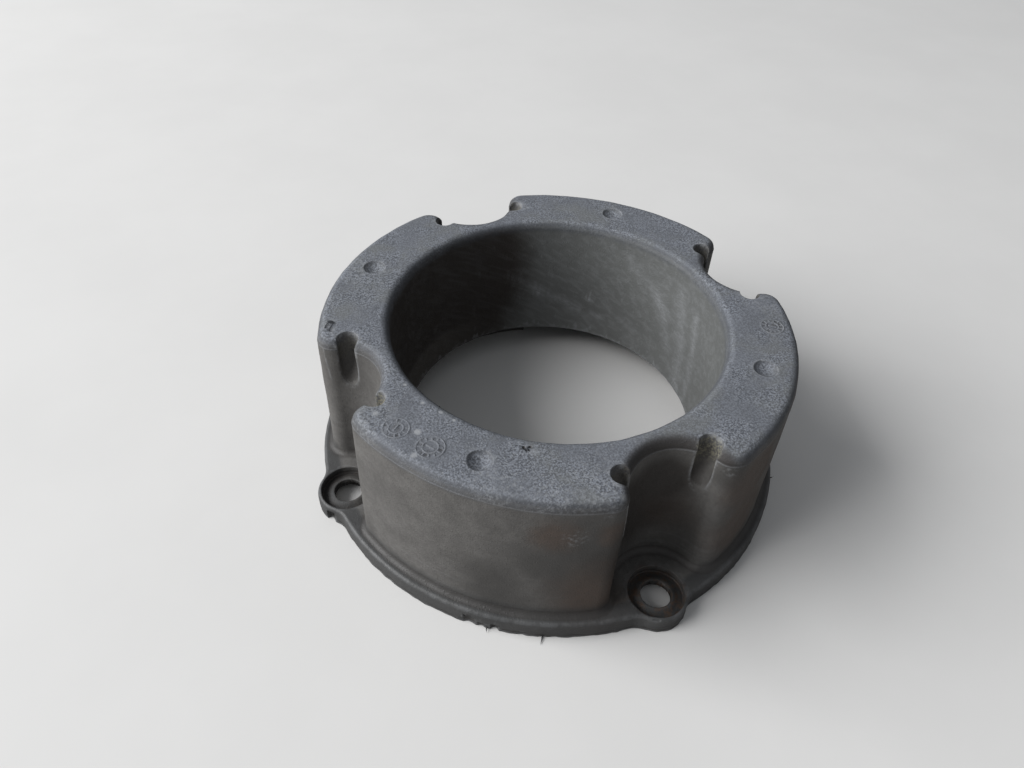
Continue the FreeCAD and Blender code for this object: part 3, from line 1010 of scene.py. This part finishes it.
def paint_bore(coat, at, finish):
    """The bore: shaded at one side and at its lip, with pale smears across it."""
    tree = coat.tree
    inside = coat.between(at.radius, 45.0, 43.2)
    shaded = coat.patches(BORE_SHADE)
    lip = coat.times(coat.between(at.height, 17.5, 15.0), coat.patches(LIP_SHADE), 0.8)
    bore = painted(tree, finish.bore, shaded, finish.bare * 1.15)
    coat.lay(painted(tree, bore, lip, finish.lip), inside)

    turn = {"Vector": coat.place, "Angle": -0.55}
    slanting = node(tree, "ShaderNodeVectorRotate", turn, rotation_type="Y_AXIS").outputs["Vector"]
    upright = coat.strokes((0.40, 0.40, 0.22), 0.60, 0.74)
    broad = coat.strokes((0.10, 0.45, 0.80), 0.42, 0.70, place=slanting)
    fine = coat.strokes((0.16, 0.8, 2.4), 0.35, 0.65, place=slanting)
    faint = coat.most(coat.times(upright, 0.16), coat.times(broad, 0.13))
    strong = coat.times(coat.kept("smear"), coat.eased(fine, 0.6))
    smears = reckon(tree, "MULTIPLY_ADD", strong, 0.60, faint)
    coat.lay(finish.scuff, smears, inside, coat.between(shaded, 0.0, 1.0, 1.0, 0.5))


def paint_flange(coat, at, finish):
    """The flange and the lugs, which lie lower and have stayed darker."""
    low = coat.between(at.height, 10.0, 5.5)
    coat.lay(finish.flange, low, coat.between(at.radius, 58.5, 60.0), 0.78)


def paint_top(coat, at, finish):
    """The top: a bluish bloom under a greyer film, with a fine grain and specks, and painted shade on its
    rounded outer edge.
    """
    tree, bloom = coat.tree, finish.bloom
    above = coat.between(at.height, 42.6, 44.2)
    turned = coat.between(at.upward, 0.99, 0.66)
    ragged = coat.times(coat.mottle(5.0, 0.25, 0.55), 0.6)
    bloomed = coat.times(above, coat.most(coat.between(at.upward, 0.05, 0.75), ragged))
    film = painted(tree, bloom * 0.80, coat.mottle(9.0, 0.3, 0.7), bloom * 1.12)
    film = painted(tree, film, coat.times(coat.mottle(17.0, 0.44, 0.60), 0.75), finish.pale)
    # Painted shade on the top's rounded outer edge, where its face turns away from the light
    film = painted(tree, film, coat.times(turned, 0.9), bloom * 0.36)
    coat.lay(film, bloomed, 0.9)

    specks = coat.most(coat.specks(0.46, 0.34), coat.specks(0.66, 0.08))
    grain = coat.effect("Mottle", size=0.44, start=0.38, end=0.64)
    level = coat.times(bloomed, coat.between(turned, 0.1, 0.9, 1.0, 0.35))
    calm = coat.between(coat.kept("calm"), 0.0, 1.0, 1.0, 0.45)
    there = coat.times(level, coat.eased(coat.mottle(8.0, 0.42, 0.60), 0.6), calm)
    coat.lay(painted(tree, bloom * 0.44, grain["Mask"], bloom * 1.62), there, 0.85)
    coat.lay(finish.scuff, specks, there, finish.speckle)
    return SimpleNamespace(above=above, bloomed=bloomed, grain=grain["Height"], specks=specks)


def paint_scuffs(coat, at, top, finish):
    """What has been rubbed pale: scuffs, flecks and raised lines; the sharp edges are partly worn pale and
    partly a painted highlight.
    """
    rubbed = coat.mottle(0.9, 0.46, 0.68)
    high = coat.between(at.height, 4.0, 14.0, 0.3, 1.0)
    # Sharp edges: partly worn pale, partly a painted highlight
    sharp = coat.times(coat.between(at.edge, 0.25, 1.4), high, coat.mottle(2.4, 0.36, 0.62))
    pale = coat.most(
        coat.times(coat.patches(SCUFFED), rubbed, top.above, 0.38),
        coat.times(coat.patches(WALL_SCUFFS), rubbed, 0.4),
        coat.times(coat.patches(FLECKS), 0.85),
        coat.times(sharp, 0.40),
        coat.times(coat.kept("line"), 0.12),
    )
    coat.lay(finish.scuff, pale)


def paint_shade_and_dirt(coat, at, finish):
    """Painted shade in corners, at the wall's foot, in the gouges, on the pockets' rims and in the bolt
    seats; grit packed in the notches and rust in the seats.
    """
    # Painted shade in concave corners, on the fillet at the wall's foot, in the gouges and on the pockets'
    # rims
    foot = coat.times(coat.between(at.edge, -0.08, -0.55), coat.between(at.height, 11.0, 8.0), 0.6)
    coat.lay(finish.bare, coat.most(coat.between(at.edge, -0.45, -1.6), foot, coat.kept("cut")), 0.8)
    coat.lay(finish.grit, coat.kept("grit"), coat.mottle(0.6, 0.42, 0.62), 0.7)
    # Painted shade in the bolt seats' recesses
    coat.lay(finish.seat, coat.kept("painted_seat_shade"), 0.6)
    coat.lay(finish.rust, coat.kept("rust"), coat.mottle(1.6, 0.42, 0.66), 0.6)


def rubber_relief(coat, top):
    """Fine pits and soft waves, as a bumped normal."""
    tree = coat.tree
    wavy = coat.effect("Mottle", size=3.2, start=0.0, end=1.0)["Height"]
    pitted = reckon(tree, "MULTIPLY_ADD", top.grain, 0.7, coat.times(top.specks, 0.5), clamped=False)
    relief = reckon(tree, "MULTIPLY_ADD", wavy, 1.6, pitted, clamped=False)
    inputs = {"Height": relief, "Strength": 0.45, "Distance": 0.15 * MM}
    return node(tree, "ShaderNodeBump", inputs).outputs["Normal"]


class COLLAR_OT_rubber(bpy.types.Operator):
    """Gives the collar its aged rubber, with bloom, scuffs, grit and rust stains, and with painted shade,
    painted highlights on its sharp edges and a painted brown reflection.
    """

    bl_idname = "collar.rubber"
    bl_label = "Finish rubber"

    def execute(self, context):
        finish = context.scene.rubber_finish
        made, tree, shader = material("aged_rubber")
        coat = Coat(tree, finish.wall)
        at = whereabouts(coat)
        paint_walls(coat, at, finish)
        paint_bore(coat, at, finish)
        paint_flange(coat, at, finish)
        top = paint_top(coat, at, finish)
        paint_scuffs(coat, at, top, finish)
        paint_shade_and_dirt(coat, at, finish)
        matt = reckon(tree, "MULTIPLY_ADD", top.bloomed, 0.6, coat.times(coat.mottle(6.0, 0.3, 0.7), 0.4))
        rough = coat.between(matt, 0.0, 1.0, finish.roughness - 0.07, finish.roughness + 0.20)
        tree.links.new(coat.colour, shader.inputs["Base Color"])
        tree.links.new(rough, shader.inputs["Roughness"])
        tree.links.new(rubber_relief(coat, top), shader.inputs["Normal"])
        shader.inputs["Specular IOR Level"].default_value = 0.4
        mesh = bpy.data.objects[PIECE].data
        mesh.materials.clear()
        mesh.materials.append(made)
        return {"FINISHED"}


# Stage


class StageSettings(bpy.types.PropertyGroup):
    """The floor, the light and the camera."""

    floor: colour("Floor", "Colour of the floor", (0.78, 0.775, 0.765))
    bounce: colour("Bounce", "Colour that the floor throws back at the collar", (0.34, 0.33, 0.32))
    window: FloatProperty(
        name="Window", description="Power of the window's light", default=108.0, min=0.0, unit="POWER"
    )
    room: share("Room", "Strength of the room's own light", 0.24)
    room_tint: colour("Room tint", "Colour of the room's own light", (0.93, 0.96, 1.0))
    camera_across: length("Camera across", "Where the camera stands, along X", -76.80)
    camera_back: length("Camera back", "Where the camera stands, along Y", -131.95)
    camera_height: length("Camera height", "Height of the camera", 168.07)
    camera_turn: angle("Camera turn", "How far round from +Y the camera looks", math.radians(-30.2) + 0.071)
    camera_dip: angle("Camera dip", "How far down the camera looks", 0.768)
    camera_roll: angle("Camera roll", "How far the camera is tipped sideways", 0.045)
    camera_lens: FloatProperty(
        name="Lens", description="Focal length", default=27.035, unit="CAMERA", precision=3
    )


def towards(turn, rise):
    """The direction that far round from +X and that far up."""
    return Vector((math.cos(turn) * math.cos(rise), math.sin(turn) * math.cos(rise), math.sin(rise)))


def facing(turn, dip, roll):
    """The turn of a camera that looks that far round from +Y, that far down, with that much roll."""
    forward = towards(turn + math.pi / 2, -dip)
    right = forward.cross(Vector((0, 0, 1))).normalized()
    up = right.cross(forward)
    tilted = right * math.cos(roll) + up * math.sin(roll)
    upright = up * math.cos(roll) - right * math.sin(roll)
    return Matrix((tilted, upright, -forward)).transposed().to_4x4()


def linked(context, name, data):
    """A new object in the scene."""
    made = bpy.data.objects.new(name, data)
    context.collection.objects.link(made)
    return made


def lay_floor(context, stage, half=3.0):
    """A plain pale floor, seen in its own colour and throwing back less."""
    sheet = bpy.data.meshes.new("floor")
    corners = [(-half, -half, 0), (half, -half, 0), (half, half, 0), (-half, half, 0)]
    sheet.from_pydata(corners, [], [(0, 1, 2, 3)])
    made, tree, shader = material("pale_floor")
    coat = Coat(tree, stage.floor * 0.97)
    coat.lay(stage.floor, coat.mottle(60.0, 0.3, 0.7))
    direct = node(tree, "ShaderNodeLightPath").outputs["Is Camera Ray"]
    tree.links.new(painted(tree, stage.bounce, direct, coat.colour), shader.inputs["Base Color"])
    shader.inputs["Roughness"].default_value = 0.8
    shader.inputs["Specular IOR Level"].default_value = 0.2
    sheet.materials.append(made)
    linked(context, "floor", sheet)


def set_camera(context, stage):
    """The camera at the photograph's viewing angle."""
    camera = bpy.data.cameras.new("camera")
    camera.sensor_width = 36
    camera.lens = stage.camera_lens
    camera.clip_start = 0.01
    eye = linked(context, "camera", camera)
    eye.matrix_world = facing(stage.camera_turn, stage.camera_dip, stage.camera_roll)
    eye.location = (stage.camera_across, stage.camera_back, stage.camera_height)
    context.scene.camera = eye


def set_light(context, stage):
    """One broad soft window and the room's own faint light."""
    lamp = bpy.data.lights.new("window", "AREA")
    lamp.shape = "RECTANGLE"
    lamp.size, lamp.size_y = 2.4, 2.0
    lamp.energy = stage.window
    source = linked(context, "window", lamp)
    source.location = towards(math.radians(163), math.radians(32)) * 2.6
    source.rotation_euler = (Vector((0, 0, 0.02)) - source.location).to_track_quat("-Z", "Y").to_euler()

    world = bpy.data.worlds.new("studio")
    world.use_nodes = True
    background = world.node_tree.nodes["Background"]
    background.inputs["Color"].default_value = (*stage.room_tint, 1)
    background.inputs["Strength"].default_value = stage.room
    context.scene.world = world
    context.scene.view_settings.view_transform = "Standard"


class COLLAR_OT_stage(bpy.types.Operator):
    """Sets the floor, the camera and the light."""

    bl_idname = "collar.stage"
    bl_label = "Set stage"

    def execute(self, context):
        stage = context.scene.stage_settings
        lay_floor(context, stage)
        set_camera(context, stage)
        set_light(context, stage)
        return {"FINISHED"}


class COLLAR_PT_panel(bpy.types.Panel):
    """Lists the steps that make the collar."""

    bl_idname = "COLLAR_PT_panel"
    bl_label = "Rubber collar"
    bl_space_type = "VIEW_3D"
    bl_region_type = "UI"
    bl_category = "Collar"

    def draw(self, context):
        for operator in OPERATORS:
            self.layout.operator(operator.bl_idname)
        for name in SETTINGS:
            settings = getattr(context.scene, name)
            box = self.layout.box()
            for setting in settings.__annotations__:
                box.prop(settings, setting)


OPERATORS = (COLLAR_OT_mould, COLLAR_OT_rubber, COLLAR_OT_stage)
SETTINGS = {
    "collar_form": CollarForm,
    "collar_wear": CollarWear,
    "rubber_finish": RubberFinish,
    "stage_settings": StageSettings,
}


def register():
    for cls in (*SETTINGS.values(), *OPERATORS, COLLAR_PT_panel):
        bpy.utils.register_class(cls)
    for name, cls in SETTINGS.items():
        setattr(bpy.types.Scene, name, PointerProperty(type=cls))


def unregister():
    for name in SETTINGS:
        delattr(bpy.types.Scene, name)
    for cls in reversed((*SETTINGS.values(), *OPERATORS, COLLAR_PT_panel)):
        bpy.utils.unregister_class(cls)


def main():
    register()
    bpy.ops.collar.mould()
    bpy.ops.collar.rubber()
    bpy.ops.collar.stage()


if __name__ == "__main__":
    main()
